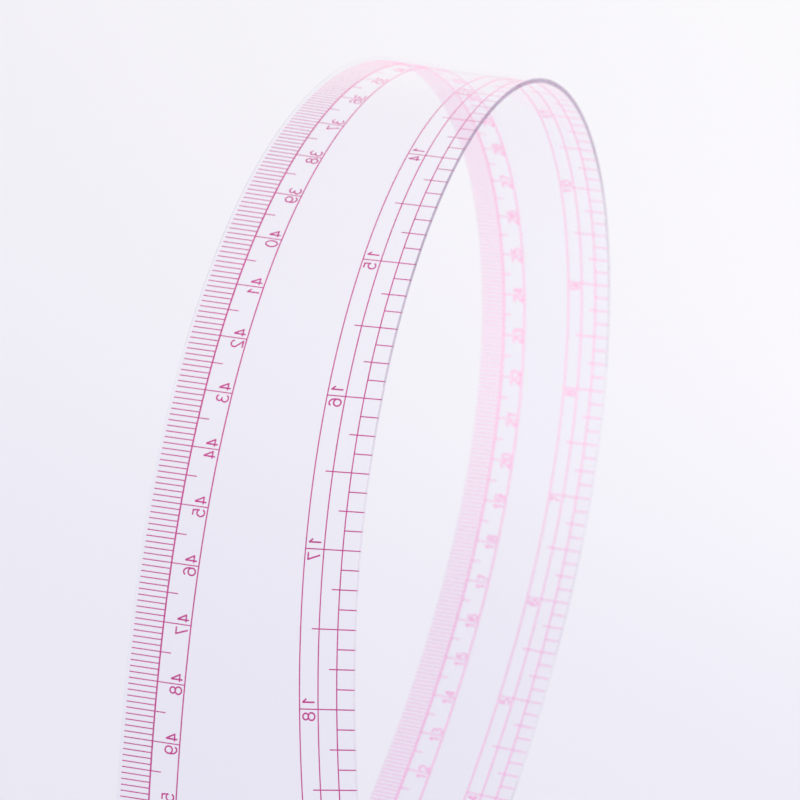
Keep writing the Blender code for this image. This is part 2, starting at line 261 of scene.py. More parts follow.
def outline(step, arc_steps):
    """Closed outline of the flat sheet, anticlockwise from the narrow centimetre corner."""
    def cm_rim(s):
        return CM_BASE.point(s, -CM_MARGIN)

    def inch_rim(s):
        return INCH_BASE.point(s, -INCH_MARGIN)

    def forward(s):
        return math.cos(CM_BASE.heading(s)), math.sin(CM_BASE.heading(s))

    def backward(s):
        return -math.cos(INCH_BASE.heading(s)), -math.sin(INCH_BASE.heading(s))

    narrow, wide = cm_rim(NARROW_END), cm_rim(WIDE_END)
    ahead = forward(WIDE_END)
    across = (-ahead[1], ahead[0])
    down = (0.0, -1.0)

    def past_wide_end(s):
        point = inch_rim(s)
        return (point[0] - wide[0]) * ahead[0] + (point[1] - wide[1]) * ahead[1]

    # readings where the inch rim meets the lines of the two ends
    s_wide = min(np.arange(0.50, 0.62, STEP), key=lambda s: abs(past_wide_end(s)))
    s_nose = min(np.arange(-0.03, 0.05, STEP), key=lambda s: abs(inch_rim(s)[0] - narrow[0]))
    cut_narrow, narrow_arc = fillet(narrow, down, forward(NARROW_END), CORNER_RADIUS, arc_steps)
    cut_corner, corner_arc = fillet(wide, ahead, across, CORNER_RADIUS, arc_steps)
    cut_wide, wide_arc = fillet(inch_rim(s_wide), across, backward(s_wide), WIDE_RADIUS, arc_steps)
    cut_nose, nose_arc = fillet(inch_rim(s_nose), backward(s_nose), down, NOSE_RADIUS, arc_steps)
    cm_side = rim_between(cm_rim, NARROW_END + cut_narrow, WIDE_END - cut_corner, step)
    inch_side = rim_between(inch_rim, s_wide - cut_wide, s_nose + cut_nose, step)
    return narrow_arc + cm_side + corner_arc + wide_arc + inch_side + nose_arc


def u_range(points):
    return min(p[0] for p in points), max(p[0] for p in points)


def bend_lines(first, last):
    """Stations of the segment ends: each segment takes an equal share of bend plus length."""
    stations = np.arange(first, last, STEP)
    need = np.array([(abs(on_curve(u)[3]) / 10.0) ** BEND_SHARE + EVEN_SHARE for u in stations])
    total = np.concatenate([[0.0], np.cumsum(need)])
    inner = [float(np.interp(total[-1] * k / SEGMENTS, total, np.append(stations, last)))
             for k in range(1, SEGMENTS)]
    return [first] + inner + [last]


LINES = bend_lines(*u_range(outline(step=0.010, arc_steps=5)))      # the coarser CAD outline
MIDDLES = [(low + high) / 2 for low, high in zip(LINES[:-1], LINES[1:])]
FINE_OUTLINE = outline(step=COLUMN, arc_steps=12)
RIM_LOW, RIM_HIGH = u_range(FINE_OUTLINE)

# the layout must sit on the loaded frame: each hinge lies on its bend line
for joint in frame["joints"]:
    segment = min(int(joint[side].split("_")[1]) for side in ("parent", "child"))
    x, z = on_curve(LINES[segment])[:2]
    away = math.hypot(x - ORIGIN_X - joint["pos_m"][0], z - ORIGIN_Z - joint["pos_m"][2])
    assert away < HINGE_SLACK, (joint["name"], away)


# ---- materials ----------------------------------------------------------------------------------
PLASTIC_IOR = 1.49
EDGE_PAINTED_SHADE_HEIGHTS = (0.180, 0.215)       # slanted height over which the painted shade on the edge darkens
# strength of the painted glow of the ink, which is no lamp
INK_PAINTED_GLOW = 0.17
INK_PAINTED_LIGHT_HEIGHTS = (0.128, 0.184)      # height over which the bare ink goes from painted shade to painted light
# lit and shaded copies of one ink: painted light on the bare face, painted shade on the face seen
# through the sheet
BARE_INK_PAINTED_LIT = [(0.25, (0.98, 0.39, 0.66)), (0.5, (0.99, 0.43, 0.69)), (0.8, (1.0, 0.47, 0.73))]
SEEN_THROUGH_INK_PAINTED_SHADE = [(0.25, (0.47, 0.003, 0.205)), (0.5, (0.54, 0.006, 0.245)),
            (0.8, (0.60, 0.018, 0.290))]


class Shader:
    """A material being wired up.  Each method adds nodes and returns an output socket."""

    def __init__(self, name):
        self.material = bpy.data.materials.new(name)
        self.material.use_nodes = True
        self.tree = self.material.node_tree
        self.tree.nodes.clear()

    def feed(self, node, inputs):
        """Link sockets to a node's inputs, or set plain values on them."""
        for key, value in inputs.items():
            if isinstance(value, bpy.types.NodeSocket):
                self.tree.links.new(value, node.inputs[key])
            else:
                node.inputs[key].default_value = value

    def add(self, kind, inputs={}, output=0, **settings):
        node = self.tree.nodes.new("ShaderNode" + kind)
        for key, value in settings.items():
            setattr(node, key, value)
        self.feed(node, inputs)
        return node.outputs[output]

    def where(self):
        return self.add("TexCoord", output="Object")

    def axes(self, vector):
        return self.add("SeparateXYZ", {"Vector": vector}).node.outputs

    def facing(self):
        """0 where a surface is met square on, 1 where it is met at a glance."""
        return self.add("LayerWeight", {"Blend": 0.5}, "Facing")

    def backfacing(self):
        return self.add("NewGeometry", output="Backfacing")

    def noise(self, where, scale, detail, roughness, stretch=(1.0, 1.0, 1.0)):
        vector = self.add("Mapping", {"Scale": stretch, "Vector": where})
        return self.add("TexNoise", {"Scale": scale, "Detail": detail, "Roughness": roughness,
                                     "Vector": vector}, "Fac")

    def ramp(self, value, stops, interpolation="EASE"):
        colour = self.add("ValToRGB", {"Fac": value}, "Color")
        scale = colour.node.color_ramp
        scale.interpolation = interpolation
        while len(scale.elements) < len(stops):
            scale.elements.new(0.5)
        for element, (position, rgb) in zip(scale.elements, stops):
            element.position = position
            element.color = (*rgb, 1.0)
        return colour

    def remap(self, value, over, to):
        """Carry the range over onto the range to, held at both ends."""
        return self.add("MapRange", {"From Min": over[0], "From Max": over[1],
                                     "To Min": to[0], "To Max": to[1], "Value": value}, "Result")

    def math(self, operation, *terms):
        return self.add("Math", dict(enumerate(terms)), "Value", operation=operation)

    def mix(self, factor, first, second):
        return self.add("MixShader", {"Fac": factor, 1: first, 2: second}, "Shader")

    def mix_colour(self, factor, first, second):
        # inputs 6 and 7 and output 2 are the colour sockets
        return self.add("Mix", {"Factor": factor, 6: first, 7: second}, 2, data_type="RGBA")

    def fresnel(self, inputs={}):
        """Share of light a plastic surface reflects, the same from either side: the sheet is thin,
        so a ray that leaves it came in through a parallel face and never gets trapped."""
        ior = self.remap(self.backfacing(), over=(0.0, 1.0), to=(PLASTIC_IOR, 1.0 / PLASTIC_IOR))
        return self.add("Fresnel", {"IOR": ior, **inputs}, "Fac")

    def finish(self, surface):
        self.add_output = self.tree.nodes.new("ShaderNodeOutputMaterial")
        self.feed(self.add_output, {"Surface": surface})
        return self.material


def clear_sheet():
    """Thin polished clear plastic: a faint lavender tint, mirror reflections at a glance, a trace
    of haze, hairline scratches and the slight waviness of pressed sheet."""
    shader = Shader("clear_sheet")
    where = shader.where()
    wave = shader.noise(where, scale=26.0, detail=1.0, roughness=0.4)
    smudge = shader.noise(where, scale=60.0, detail=4.0, roughness=0.6)
    hair = shader.noise(where, scale=900.0, detail=2.0, roughness=0.5, stretch=(1.0, 0.06, 1.0))
    bump = shader.add("Bump", {"Strength": 0.10, "Distance": 0.0006, "Height": wave}, "Normal")
    facing = shader.facing()
    tint = shader.ramp(facing, [(0.0, (0.982, 0.980, 0.992)), (0.45, (0.980, 0.974, 0.990)),
                                (0.8, (1.0, 0.994, 0.998))])
    through = shader.add("BsdfTransparent", {"Color": tint})
    roughness = shader.math("ADD", shader.remap(smudge, over=(0.3, 0.8), to=(0.03, 0.09)),
                            shader.remap(hair, over=(0.62, 0.75), to=(0.0, 0.10)))
    mirror = shader.add("BsdfGlossy", {"Color": (1.0, 0.99, 1.0, 1.0), "Roughness": roughness,
                                       "Normal": bump})
    # reflections are weakened, capped, and weakened again at the most grazing angles
    glance = shader.math("MULTIPLY", shader.fresnel({"Normal": bump}), 0.85)
    glance = shader.math("MINIMUM", glance, 0.18)
    grazing = shader.remap(facing, over=(0.70, 0.88), to=(1.0, 0.4))
    glance = shader.math("MULTIPLY", glance, grazing)
    haze = shader.add("BsdfTranslucent", {"Color": (0.93, 0.90, 0.96, 1.0)})
    veil = shader.remap(smudge, over=(0.35, 0.75), to=(0.006, 0.022))
    return shader.finish(shader.mix(glance, shader.mix(veil, through, haze), mirror))


def polished_edge():
    """The trimmed edge of the sheet: a darker mauve line from outside.  The line is painted shade
    standing for the dark line a polished edge shows; it is painted darker higher up and where the edge
    is met square on.  It is all but invisible when looked at through the sheet from within."""
    shader = Shader("polished_edge")
    where = shader.where()
    along = shader.noise(where, scale=180.0, detail=3.0, roughness=0.6)
    # painted shade colour of the edge, uneven along it
    edge_shade_colour = shader.ramp(along, [(0.25, (0.50, 0.41, 0.53)), (0.75, (0.60, 0.51, 0.62))])
    # painted shade: the edge is painted darker higher up
    x, _, z = shader.axes(where)
    slant = shader.math("ADD", z, shader.math("MULTIPLY", x, 0.25))
    edge_shade_share = shader.remap(slant, over=EDGE_PAINTED_SHADE_HEIGHTS, to=(0.0, 1.0))
    # painted shade: met square on, the edge is painted dark at any height
    squarely = shader.remap(shader.facing(), over=(0.30, 0.55), to=(0.8, 0.0))
    edge_shade_share = shader.math("MAXIMUM", edge_shade_share, squarely)
    tint = shader.mix_colour(edge_shade_share, (0.92, 0.90, 0.925, 1.0), edge_shade_colour)
    through = shader.add("BsdfTransparent", {"Color": tint})
    body = shader.add("BsdfTranslucent", {"Color": tint})
    roughness = shader.remap(along, over=(0.2, 0.8), to=(0.10, 0.26))
    gloss = shader.add("BsdfGlossy", {"Color": (0.96, 0.94, 1.0, 1.0), "Roughness": roughness})
    cloudy = shader.mix(0.22, through, body)
    glance = shader.math("MULTIPLY", shader.fresnel(), 0.5)
    outside = shader.mix(glance, cloudy, gloss)
    within = shader.add("BsdfTransparent", {"Color": (0.985, 0.98, 0.99, 1.0)})
    return shader.finish(shader.mix(shader.backfacing(), outside, within))


def sheet_inside():
    """Inner ends of the spans, where the real sheet simply goes on."""
    shader = Shader("sheet_inside")
    return shader.finish(shader.add("BsdfTransparent"))


def ink(name, pattern_shift, seen_through):
    """Screen-printed magenta ink, a little uneven in strength, painted as lit and shaded copies.  Its
    bare face is painted lit pink with a painted glow; seen through the sheet it is painted shade in
    dark magenta, with a painted sheen that washes it out to pink at a glance."""
    shader = Shader(name)
    where = shader.where()
    shifted = shader.add("Mapping", {"Location": (pattern_shift, pattern_shift * 0.7, 0.0),
                                     "Vector": where})
    patch = shader.noise(shifted, scale=90.0, detail=3.0, roughness=0.55)
    grain = shader.noise(shifted, scale=2600.0, detail=2.0, roughness=0.6)
    # the painted lit copy or the painted shaded copy of the ink colour
    colour = shader.ramp(patch, SEEN_THROUGH_INK_PAINTED_SHADE if seen_through else BARE_INK_PAINTED_LIT)
    # the emission is a painted glow that brightens the ink
    body = shader.add("BsdfPrincipled", {"Emission Color": (1.0, 0.12, 0.38, 1.0),
                                         "Emission Strength": INK_PAINTED_GLOW})
    if seen_through:
        # painted sheen: at a glance the ink is painted pink and given more painted glow
        painted_glance_sheen = shader.remap(shader.facing(), over=(0.45, 0.95), to=(0.0, 0.9))
        painted_glow = shader.math("MULTIPLY", painted_glance_sheen, INK_PAINTED_GLOW * 1.3)
        colour = shader.mix_colour(painted_glance_sheen, colour, (0.98, 0.30, 0.56, 1.0))
        specular = 0.05        # no air gap against the sheet
    else:
        # painted shade low down: there the bare ink is painted darker and has no painted glow
        height = shader.axes(where)["Z"]
        shade = shader.remap(height, over=INK_PAINTED_LIGHT_HEIGHTS, to=(1.0, 0.0))
        painted_glow = shader.remap(height, over=INK_PAINTED_LIGHT_HEIGHTS, to=(0.0, INK_PAINTED_GLOW))
        colour = shader.mix_colour(shade, colour, (0.80, 0.27, 0.58, 1.0))
        specular = 0.35
    bump = shader.add("Bump", {"Strength": 0.25, "Distance": 0.00002, "Height": grain}, "Normal")
    shader.feed(body.node, {
        "Base Color": colour,
        "Emission Strength": painted_glow,
        "Roughness": shader.remap(grain, over=(0.2, 0.8), to=(0.34, 0.62)),
        "Specular IOR Level": specular,
        "Normal": bump})
    through = shader.add("BsdfTransparent", {"Color": (0.96, 0.55, 0.78, 1.0)})
    thin = shader.remap(patch, over=(0.2, 0.8), to=(0.02, 0.12))
    return shader.finish(shader.mix(thin, body, through))


def ink_pair(name, pattern_shift):
    """Materials of the bare face and of the face against the sheet."""
    return (ink(name, pattern_shift, seen_through=False),
            ink(name + "_seen_through", pattern_shift, seen_through=True))


FACE, EDGE, SEAM = range(3)         # material slots of the sheet
SHEET_MATERIALS = (clear_sheet(), polished_edge(), sheet_inside())
CM_INKS = ink_pair("cm_ink", pattern_shift=0.0)
INCH_INKS = ink_pair("inch_ink", pattern_shift=3.7)


def link_object(name, data):
    obj = bpy.data.objects.new(name, data)
    bpy.context.scene.collection.objects.link(obj)
    return obj


def to_mesh(bm, name, materials=()):
    mesh = bpy.data.meshes.new(name)
    bm.to_mesh(mesh)
    bm.free()
    for material in materials:
        mesh.materials.append(material)
    return mesh


# ---- the clear sheet ----------------------------------------------------------------------------
def hole_centre():
    u, v = CM_BASE.point(WIDE_END - HANG_INSET, 0.0)
    angle = CM_BASE.heading(WIDE_END)
    half = width_at(u) / 2
    return u - half * math.sin(angle), v + half * math.cos(angle)


HOLE_U, HOLE_V = hole_centre()


def clip_u(points, limit, keep_above):
    """Part of a closed outline on one side of u = limit."""
    out = []
    for i, p in enumerate(points):
        q = points[(i + 1) % len(points)]
        p_inside = (p[0] >= limit) == keep_above
        q_inside = (q[0] >= limit) == keep_above
        if p_inside:
            out.append(p)
        if p_inside != q_inside:
            share = (limit - p[0]) / (q[0] - p[0])
            out.append((limit, p[1] + (q[1] - p[1]) * share))

    def apart(p, q):
        return math.hypot(p[0] - q[0], p[1] - q[1])

    clean = []
    for p in out:
        if not clean or apart(p, clean[-1]) > 1e-7:
            clean.append(p)
    if len(clean) > 1 and apart(clean[0], clean[-1]) < 1e-7:
        clean.pop()
    return clean


def clip_line(points, a, b):
    """Part of a convex outline to the left of the line from a to b."""
    def side(p):
        return (b[0] - a[0]) * (p[1] - a[1]) - (b[1] - a[1]) * (p[0] - a[0])

    out = []
    for i, p in enumerate(points):
        q = points[(i + 1) % len(points)]
        p_side, q_side = side(p), side(q)
        if p_side >= -1e-15:
            out.append(p)
        if (p_side > 1e-15 and q_side < -1e-15) or (p_side < -1e-15 and q_side > 1e-15):
            share = p_side / (p_side - q_side)
            out.append((p[0] + (q[0] - p[0]) * share, p[1] + (q[1] - p[1]) * share))
    return out


def hole_rise(u):
    """Half height of the hole at station u."""
    rise = math.sqrt(max(0.0, HOLE_RADIUS ** 2 - (u - HOLE_U) ** 2))
    return rise if rise > 1e-5 else 0.0


def add_hole_side_point(cell, u):
    """Give a column that touches the hole's side point a corner there."""
    for i, p in enumerate(cell):
        q = cell[(i + 1) % len(cell)]
        if abs(p[0] - u) < 1e-7 and abs(q[0] - u) < 1e-7:
            cell.insert(i + 1, (u, HOLE_V))
            break


def sheet_cells(first, last):
    """The flat sheet between two stations, one outline per mesh column, without the hole."""
    count = max(1, int(round((last - first) / COLUMN)))
    cuts = {round(first + (last - first) * i / count, 9) for i in range(count + 1)}
    hole_sides = 24
    has_hole = first < HOLE_U < last
    if has_hole:
        cuts = {c for c in cuts if abs(c - HOLE_U) > HOLE_RADIUS + 0.0003}
        cuts |= {round(HOLE_U + HOLE_RADIUS * math.cos(2 * math.pi * i / hole_sides), 9)
                 for i in range(hole_sides // 2 + 1)}
    cuts = sorted(cuts)
    cells = []
    for a, b in zip(cuts[:-1], cuts[1:]):
        cell = clip_u(clip_u(FINE_OUTLINE, a, True), b, False)
        if len(cell) < 3:
            continue
        if has_hole and abs((a + b) / 2 - HOLE_U) < HOLE_RADIUS:
            rise_a, rise_b = hole_rise(a), hole_rise(b)
            cells.append(clip_line(cell, (a, HOLE_V + rise_a), (b, HOLE_V + rise_b)))
            cells.append(clip_line(cell, (b, HOLE_V - rise_b), (a, HOLE_V - rise_a)))
            continue
        if has_hole:
            for u, side_point in ((a, HOLE_U + HOLE_RADIUS), (b, HOLE_U - HOLE_RADIUS)):
                if abs(u - side_point) < 1e-7:
                    add_hole_side_point(cell, u)
        cells.append(cell)
    return cells


def flat_solid(first, last):
    """The flat sheet between two stations as a closed solid with square edges."""
    bm = bmesh.new()
    made = {}

    def vert(point, level):
        key = (round(point[0] * 1e6), round(point[1] * 1e6), level)
        if key not in made:
            made[key] = bm.verts.new((point[0], point[1], (-SHEET / 2, SHEET / 2)[level]))
        return made[key]

    edges = {}      # directed top edges and the bottom edges below them
    for cell in sheet_cells(first, last):
        ring = []
        for point in cell:
            v = vert(point, 1)
            if not ring or ring[-1][0] is not v:
                ring.append((v, point))
        if len(ring) > 1 and ring[0][0] is ring[-1][0]:
            ring.pop()
        if len(ring) < 3:
            continue
        top = [v for v, _ in ring]
        bottom = [vert(point, 0) for _, point in ring]
        bm.faces.new(top)
        bm.faces.new(bottom[::-1])
        for i in range(len(ring)):
            j = (i + 1) % len(ring)
            edges[(top[i], top[j])] = (bottom[i], bottom[j])
    for (a, b), (below_a, below_b) in edges.items():
        if (b, a) not in edges:
            bm.faces.new((a, below_a, below_b, b))
    bm.normal_update()
    return bm


def on_seam(face, low, high, slack):
    """Whether a face closes the end of a span where the sheet goes on; None means a real end."""
    us = [v.co.x for v in face.verts]
    return ((low is not None and max(us) < low + slack)
            or (high is not None and min(us) > high - slack))


def bevel_rim(bm, low, high):
    rim = []
    for edge in bm.edges:
        if len(edge.link_faces) != 2:
            continue
        flat = [f for f in edge.link_faces if abs(f.normal.z) > 0.9]
        wall = [f for f in edge.link_faces if abs(f.normal.z) < 0.1]
        if len(flat) == 1 and len(wall) == 1 and not on_seam(wall[0], low, high, 1e-6):
            rim.append(edge)
    bmesh.ops.bevel(bm, geom=rim, offset=EDGE_BEVEL, offset_type="OFFSET", segments=2,
                    profile=0.55, affect="EDGES", clamp_overlap=True)
    bm.normal_update()


def bent_normals(bm):
    """Corner normals worked out flat and turned with the bend, so spans meet without a break."""
    soft = {}
    for face in bm.faces:
        if face.material_index == EDGE:
            for v in face.verts:
                soft.setdefault(v, Vector())
                soft[v] += face.normal * face.calc_area()
    normals = []
    for face in bm.faces:
        for loop in face.loops:
            if face.material_index == FACE:
                normal = (0.0, 0.0, 1.0 if face.normal.z > 0 else -1.0)
            elif face.material_index == EDGE:
                normal = soft[loop.vert].normalized()
            else:
                normal = face.normal
            normals.append(tuple(turned(loop.vert.co.x, normal)))
    return normals


def sheet_piece(name, low, high):
    first = RIM_LOW if low is None else low
    last = RIM_HIGH if high is None else high
    bm = flat_solid(round(first, 9), round(last, 9))
    bevel_rim(bm, low, high)
    for face in bm.faces:
        if on_seam(face, low, high, 2e-6):
            face.material_index = SEAM
        else:
            face.material_index = FACE if abs(face.normal.z) > 0.98 else EDGE
        face.smooth = face.material_index != SEAM
    normals = bent_normals(bm)
    for v in bm.verts:
        v.co = bent(*v.co)
    for edge in bm.edges:
        if len({f.material_index for f in edge.link_faces}) > 1:
            edge.smooth = False
    mesh = to_mesh(bm, name, SHEET_MATERIALS)
    mesh.normals_split_custom_set(normals)
    return link_object(name, mesh)


# ---- digits -------------------------------------------------------------------------------------
def sweep(cx, cy, rx, ry, start, end, steps):
    """Points on an ellipse between two angles in degrees."""
    angles = [math.radians(start + (end - start) * i / steps) for i in range(steps + 1)]
    return [(cx + rx * math.cos(a), cy + ry * math.sin(a)) for a in angles]


def glyph_strokes():
    """Plain round numerals as centre lines in a unit box; True marks a closed ring."""
    six = [(sweep(0.5, 0.31, 0.5, 0.31, 0, 360, 22)[:-1], True),
           (sweep(0.56, 0.52, 0.56, 0.48, 42, 188, 13), False)]
    return {
        "0": [(sweep(0.5, 0.5, 0.5, 0.5, 0, 360, 26)[:-1], True)],
        "1": [([(0.10, 0.70), (0.56, 1.0), (0.56, 0.0)], False)],
        "2": [(sweep(0.5, 0.70, 0.48, 0.30, 168, -28, 14) + [(0.02, 0.0), (1.0, 0.0)], False)],
        "3": [(sweep(0.47, 0.765, 0.42, 0.235, 155, -62, 13), False),
              (sweep(0.49, 0.28, 0.51, 0.28, 78, -155, 15), False),
              ([(0.36, 0.545), (0.66, 0.545)], False)],
        "4": [([(0.70, 0.0), (0.70, 1.0)], False),
              ([(0.69, 1.0), (0.0, 0.26), (1.0, 0.26)], False)],
        "5": [([(0.90, 1.0), (0.18, 1.0), (0.10, 0.50)]
               + sweep(0.5, 0.325, 0.5, 0.325, 128, -152, 17), False)],
        "6": six,
        "7": [([(0.0, 1.0), (0.96, 1.0), (0.34, 0.0)], False)],
        "8": [(sweep(0.5, 0.765, 0.42, 0.235, 0, 360, 20)[:-1], True),
              (sweep(0.5, 0.275, 0.5, 0.275, 0, 360, 22)[:-1], True)],
        "9": [([(1 - x, 1 - y) for x, y in points], closed) for points, closed in six],
    }


def left_of(direction):
    return Vector((-direction.y, direction.x))


def ribbon(points, closed, half):
    """Left and right sides of a stroke of constant width; sharp corners are blunted outside."""
    left, right = [], []
    count = len(points)
    for i, point in enumerate(points):
        centre = Vector(point)
        arriving = leaving = None
        if closed or i > 0:
            arriving = (centre - Vector(points[i - 1])).normalized()
        if closed or i < count - 1:
            leaving = (Vector(points[(i + 1) % count]) - centre).normalized()
        if arriving is None or leaving is None:
            offset = left_of(arriving or leaving) * half
            left.append(centre + offset)
            right.append(centre - offset)
            continue
        before, after = left_of(arriving), left_of(leaving)
        bisector = (before + after).normalized()
        offset = bisector * half / max(bisector.dot(before), 0.2)
        turns_left = arriving.x * leaving.y - arriving.y * leaving.x > 0
        outward = -1 if turns_left else 1
        if arriving.dot(leaving) < 0.4:
            outer = [centre + before * half * outward + arriving * half * 0.5,
                     centre + after * half * outward - leaving * half * 0.5]
        else:
            outer = [centre + offset * outward]
        left += [centre + offset] if turns_left else outer
        right += outer if turns_left else [centre - offset]
    return left, right


def prism(loops):
    """Closed unit-height prism over one outline, or over the ring between two of equal length."""
    bm = bmesh.new()
    rows = [[bm.verts.new((p.x, p.y, z)) for p in loop] for z in (0.0, 1.0) for loop in loops]
    count = len(loops[0])
    if len(loops) == 1:
        low, top = rows
        bm.faces.new(low[::-1])
        bm.faces.new(top)
        for i in range(count):
            j = (i + 1) % count
            bm.faces.new((low[i], low[j], top[j], top[i]))
    else:
        outer_low, inner_low, outer_top, inner_top = rows
        for i in range(count):
            j = (i + 1) % count
            bm.faces.new((outer_top[i], outer_top[j], inner_top[j], inner_top[i]))
            bm.faces.new((outer_low[j], outer_low[i], inner_low[i], inner_low[j]))
            bm.faces.new((outer_low[i], outer_low[j], outer_top[j], outer_top[i]))
            bm.faces.new((inner_low[j], inner_low[i], inner_top[i], inner_top[j]))
    bmesh.ops.recalc_face_normals(bm, faces=bm.faces)
    return link_object("stroke", to_mesh(bm, "stroke"))


def glyph(strokes, width, height):
    """One digit as a closed mesh: x along the text, y up, z from 0 to 1."""
    half = STROKE / 2
    enlarge = 1000.0        # the boolean solver's tolerances suit larger things
    parts = []
    for points, closed in strokes:
        # the outside of the stroke stays on the box
        real = [(half + x * (width - STROKE), half + y * (height - STROKE)) for x, y in points]
        left, right = ribbon(real, closed, half)
        parts.append(prism([right, left] if closed else [right + left[::-1]]))
    for part in parts:
        part.data.transform(Matrix.Diagonal((enlarge, enlarge, 1.0, 1.0)))
    base = parts[0]
    for part in parts[1:]:
        join = base.modifiers.new("join", "BOOLEAN")
        join.operation = "UNION"
        join.solver = "EXACT"
        join.object = part
    bpy.context.view_layer.update()
    joined = base.evaluated_get(bpy.context.evaluated_depsgraph_get()).to_mesh()
    verts = [(v.co.x / enlarge, v.co.y / enlarge, round(v.co.z)) for v in joined.vertices]
    faces = [tuple(p.vertices) for p in joined.polygons]
    for part in parts:
        data = part.data
        bpy.data.objects.remove(part)
        bpy.data.meshes.remove(data)
    return verts, faces


def glyph_set(width, height):
    return {digit: glyph(strokes, width, height) for digit, strokes in glyph_strokes().items()}


# ---- printed scales -----------------------------------------------------------------------------
def graduations(readings, lengths):
    """Each reading with the bands its tick fills.  Lengths are (every so many ticks, bands)."""
    return [(reading, set(range(next(bands for every, bands in lengths if i % every == 0))))
            for i, reading in enumerate(readings)]


# rows are insets; band j lies between rows j and j + 1, and line_bands run the whole scale
CM_SCALE = SimpleNamespace(
    name="cm", base=CM_BASE, inks=CM_INKS, tick=CM_TICK, unit=0.01, count=CM_COUNT,
    rows=[CM_TICK_START,
          CM_LINES[0] - CM_BOLD / 2, CM_LINES[0] + CM_BOLD / 2, CM_LINES[0] + CM_HALF_OVERRUN,
          CM_LINES[1] - CM_FINE / 2, CM_LINES[1] + CM_FINE / 2],
    line_bands={1, 4},
    marks=graduations([i * 0.001 for i in range(CM_COUNT * 10 + 1)], ((10, 5), (5, 3), (1, 2))),
    glyphs=glyph_set(*CM_DIGIT), digit_width=CM_DIGIT[0], digit_gap=CM_DIGIT_GAP,
    digit_foot=CM_LINES[1] - CM_FINE / 2 - CM_DIGIT_FOOT,
    digit_up=-1)        # digits grow towards the base line
INCH_SCALE = SimpleNamespace(
    name="inch", base=INCH_BASE, inks=INCH_INKS, tick=INCH_TICK, unit=INCH, count=INCH_COUNT,
    rows=[INCH_TICK_START,
          INCH_LINES[0] - INCH_FINE / 2, INCH_LINES[0] + INCH_FINE / 2,
          INCH_LINES[0] + INCH_QUARTER_OVERRUN,
          INCH_LINES[1] - INCH_FINE / 2, INCH_LINES[1] + INCH_FINE / 2,
          INCH_LINES[1] + INCH_HALF_OVERRUN,
          INCH_LINES[2] - INCH_FINE / 2, INCH_LINES[2] + INCH_FINE / 2],
    line_bands={1, 4, 7},
    marks=graduations([i * INCH / 8 for i in range(INCH_COUNT * 8 + 1)],
                      ((8, 8), (4, 6), (2, 3), (1, 2))),
    glyphs=glyph_set(*INCH_DIGIT), digit_width=INCH_DIGIT[0], digit_gap=INCH_DIGIT_GAP,
    digit_foot=INCH_LINES[1] + INCH_FINE / 2 + INCH_DIGIT_FOOT,
    digit_up=1)         # digits grow away from the base line


def printed_height(level):
    """Height over the middle surface: level 0 lies against the sheet, level 1 is the bare face."""
    return -(SHEET / 2 + INK_GAP + (INK if level else 0.0))


def film_columns(scale, low, high):
    """Mesh columns of a scale between two stations: readings on every row, and the bands filled
    from each column to the next.  A tick belongs whole to the span that holds it."""
    base, rows = scale.base, scale.rows
    middle = rows[len(rows) // 2]
    s_low = base.reading_at(middle, low, low) if low is not None else -1.0
    s_high = base.reading_at(middle, high, high) if high is not None else 1.0
    mine = [mark for mark in scale.marks if s_low <= mark[0] < s_high]
    columns, filled = [], []

    def add(readings, bands=scale.line_bands):
        columns.append(readings)
        filled.append(bands)

    def fill(until):
        back = max(columns[-1])
        count = int((until - back) / FILM_COLUMN)
        for i in range(1, count + 1):
            add([back + (until - back) * i / (count + 1)] * len(rows))

    if not mine:
        return columns, filled
    if low is not None and scale.marks[0][0] < s_low:
        latest = mine[0][0] - scale.tick / 2 - FILM_GAP
        add([min(base.reading_at(row, low, s_low), latest) for row in rows])
    for reading, bands in mine:
        start, end = reading - scale.tick / 2, reading + scale.tick / 2
        if columns:
            fill(start)
        add([start] * len(rows), bands | scale.line_bands)
        add([end] * len(rows))
    if high is not None and scale.marks[-1][0] >= s_high:
        ends = [base.reading_at(row, high, s_high) for row in rows]
        earliest = max(columns[-1]) + FILM_GAP
        back = max(columns[-1])
        fill(min(ends))
        earliest = max(columns[-1][0], back) + FILM_GAP if False else earliest
        add([max(s, earliest) for s in ends])
    return columns, filled


def film(bm, scale, low, high):
    """Lines and ticks between two stations, as one connected film standing on the sheet."""
    columns, filled = film_columns(scale, low, high)
    cells = {(i, j) for i, bands in enumerate(filled[:-1]) for j in bands}
    made = {}

    def corner(i, j, level):
        key = (i, j, level)
        if key not in made:
            u, v = scale.base.point(columns[i][j], scale.rows[j])
            made[key] = bm.verts.new(bent(u, v, printed_height(level)))
        return made[key]

    for i, j in sorted(cells):
        ring = [(i, j), (i + 1, j), (i + 1, j + 1), (i, j + 1)]
        neighbours = [(i, j - 1), (i + 1, j), (i, j + 1), (i - 1, j)]
        bare = [corner(*place, 1) for place in ring]
        against = [corner(*place, 0) for place in ring]
        bm.faces.new(bare)
        bm.faces.new(against[::-1]).material_index = 1
        for a, neighbour in enumerate(neighbours):
            b = (a + 1) % 4
            if neighbour not in cells:
                bm.faces.new((bare[a], against[a], against[b], bare[b]))


def stamp(bm, scale, digit, start):
    """One digit whose box starts at a reading."""
    verts, faces = scale.glyphs[digit]
    made = []
    for x, y, level in verts:
        u, v = scale.base.point(start + x, scale.digit_foot + scale.digit_up * y)
        made.append(bm.verts.new(bent(u, v, printed_height(level))))
    for face in faces:
        bare = any(verts[i][2] for i in face)
        bm.faces.new([made[i] for i in face]).material_index = 0 if bare else 1


